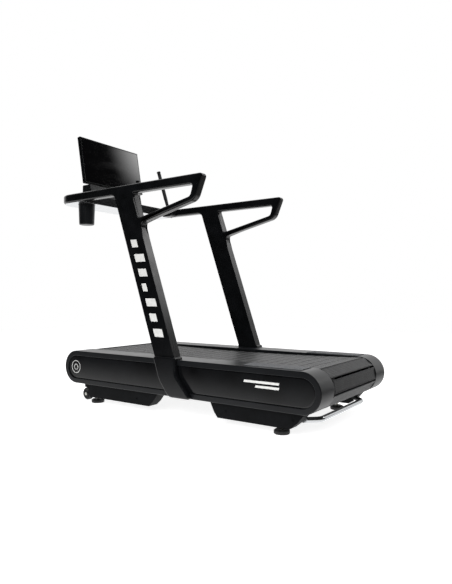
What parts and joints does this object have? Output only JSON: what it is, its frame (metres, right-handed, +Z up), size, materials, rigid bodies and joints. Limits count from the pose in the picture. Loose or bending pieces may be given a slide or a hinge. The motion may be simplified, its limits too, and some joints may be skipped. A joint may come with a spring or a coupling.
{
  "type": "curved manual treadmill",
  "caption": "Curved manual treadmill: slatted concave running belt between side units, leaning uprights, looped hand rails, display, resistance lever and bottle cup.",
  "frame": {"origin": "on the floor under the middle of the machine's overall length and width", "axes": "+X along the deck towards the walk-on end, +Y across it towards the user's right, +Z up"},
  "size_m": [1.8654, 0.924, 1.7519],
  "materials": {
    "frame_steel": "satin black paint",
    "shroud_abs": "satin moulded ABS",
    "panel_abs": "semi-gloss moulded ABS",
    "grip_rubber": "ribbed rubber pad",
    "leg_steel": "black powder coat",
    "zinc_steel": "zinc plated",
    "chrome_steel": "chrome plated, polished",
    "boot_abs": "semi-gloss moulded ABS",
    "rail_aluminium": "satin black powder coat",
    "console_abs": "fine-textured moulded ABS",
    "belly_aluminium": "brushed, clear anodised",
    "slat_aluminium": "black anodised with a rubber tread",
    "belt_rubber": "moulded rubber",
    "bearing_steel": "ground",
    "cast_aluminium": "cast and turned",
    "cable_sheath": "smooth sheath",
    "wheel_rubber": "moulded",
    "pad_rubber": "moulded",
    "display_abs": "gloss moulded ABS",
    "display_glass": "black glass laminate, polished",
    "grip_plastic": "soft-touch"
  },
  "bodies": {
    "frame": {"left_side_rail": "frame_steel", "right_side_rail": "frame_steel", "cross_members": "frame_steel", "left_shroud": "shroud_abs", "right_shroud": "shroud_abs", "left_side_panel": "panel_abs", "right_side_panel": "panel_abs", "foot_grips": "grip_rubber", "front_left_leg": "leg_steel", "front_right_leg": "leg_steel", "rear_left_leg": "leg_steel", "rear_right_leg": "leg_steel", "leg_bolts": "leg_steel", "lock_nuts": "zinc_steel", "wheel_bolts": "zinc_steel", "lift_bar": "chrome_steel", "left_boot": "boot_abs", "right_boot": "boot_abs", "left_upright": "rail_aluminium", "right_upright": "rail_aluminium", "upright_bolts": "zinc_steel", "left_handrail": "rail_aluminium", "right_handrail": "rail_aluminium", "console_loop": "rail_aluminium", "console_tray": "console_abs", "belly_plate": "belly_aluminium", "bottle_cup": "console_abs", "console_housing": "console_abs", "hinge_ears": "frame_steel", "hinge_pin": "zinc_steel", "lever_housing": "console_abs", "front_bearings": "bearing_steel", "rear_bearings": "bearing_steel", "belt_slats": "slat_aluminium", "left_belt": "belt_rubber", "right_belt": "belt_rubber", "track_rails": "frame_steel", "guide_rollers": "bearing_steel", "brake_cable": "cable_sheath", "brake_pin": "zinc_steel"},
    "front_drum": {"front_axle": "bearing_steel", "front_pulleys": "cast_aluminium", "brake_disc": "cast_aluminium"},
    "rear_drum": {"rear_axle": "bearing_steel", "rear_pulleys": "cast_aluminium"},
    "brake": {"brake_yoke": "frame_steel"},
    "left_transport_wheel": {"left_wheel": "wheel_rubber"},
    "right_transport_wheel": {"right_wheel": "wheel_rubber"},
    "front_left_foot": {"front_left_pad": "pad_rubber", "front_left_stud": "zinc_steel"},
    "front_right_foot": {"front_right_pad": "pad_rubber", "front_right_stud": "zinc_steel"},
    "rear_left_foot": {"rear_left_pad": "pad_rubber", "rear_left_stud": "zinc_steel"},
    "rear_right_foot": {"rear_right_pad": "pad_rubber", "rear_right_stud": "zinc_steel"},
    "display": {"display_case": "display_abs", "display_glass": "display_glass"},
    "lever": {"lever_shaft": "zinc_steel", "lever_grip": "grip_plastic"}
  },
  "joints": [
    {"name": "front_drum_spin", "type": "hinge", "parent": "frame", "child": "front_drum", "pos_m": [-0.746, 0, 0.227], "axis": [0, 1, 0], "continuous": true},
    {"name": "rear_drum_spin", "type": "hinge", "parent": "frame", "child": "rear_drum", "pos_m": [0.832, 0, 0.227], "axis": [0, 1, 0], "continuous": true},
    {"name": "lever_tilt", "type": "hinge", "parent": "frame", "child": "lever", "pos_m": [-0.6605, 0.36, 1.29], "axis": [0, 1, 0], "range_deg": [-8, 48]},
    {"name": "brake_swing", "type": "hinge", "parent": "frame", "child": "brake", "pos_m": [-0.633, 0.39, 0.182], "axis": [0, 1, 0], "range_deg": [-6.2, 1.2]},
    {"name": "display_tilt", "type": "hinge", "parent": "frame", "child": "display", "pos_m": [-0.90236, 0, 1.46622], "axis": [0, 1, 0], "range_deg": [-15, 5]},
    {"name": "left_wheel_spin", "type": "hinge", "parent": "frame", "child": "left_transport_wheel", "pos_m": [-0.709, -0.363, 0.053], "axis": [0, 1, 0], "continuous": true},
    {"name": "right_wheel_spin", "type": "hinge", "parent": "frame", "child": "right_transport_wheel", "pos_m": [-0.709, 0.363, 0.053], "axis": [0, 1, 0], "continuous": true},
    {"name": "front_left_level", "type": "slide", "parent": "frame", "child": "front_left_foot", "axis": [0, 0, -1], "range_m": [0, 0.012]},
    {"name": "front_right_level", "type": "slide", "parent": "frame", "child": "front_right_foot", "axis": [0, 0, -1], "range_m": [0, 0.012]},
    {"name": "rear_left_level", "type": "slide", "parent": "frame", "child": "rear_left_foot", "axis": [0, 0, -1], "range_m": [0, 0.012]},
    {"name": "rear_right_level", "type": "slide", "parent": "frame", "child": "rear_right_foot", "axis": [0, 0, -1], "range_m": [0, 0.012]}
  ],
  "couplings": [
    {"joint": "rear_drum_spin", "follows": "front_drum_spin", "ratio": 1},
    {"joint": "brake_swing", "follows": "lever_tilt", "ratio": -0.125}
  ]
}
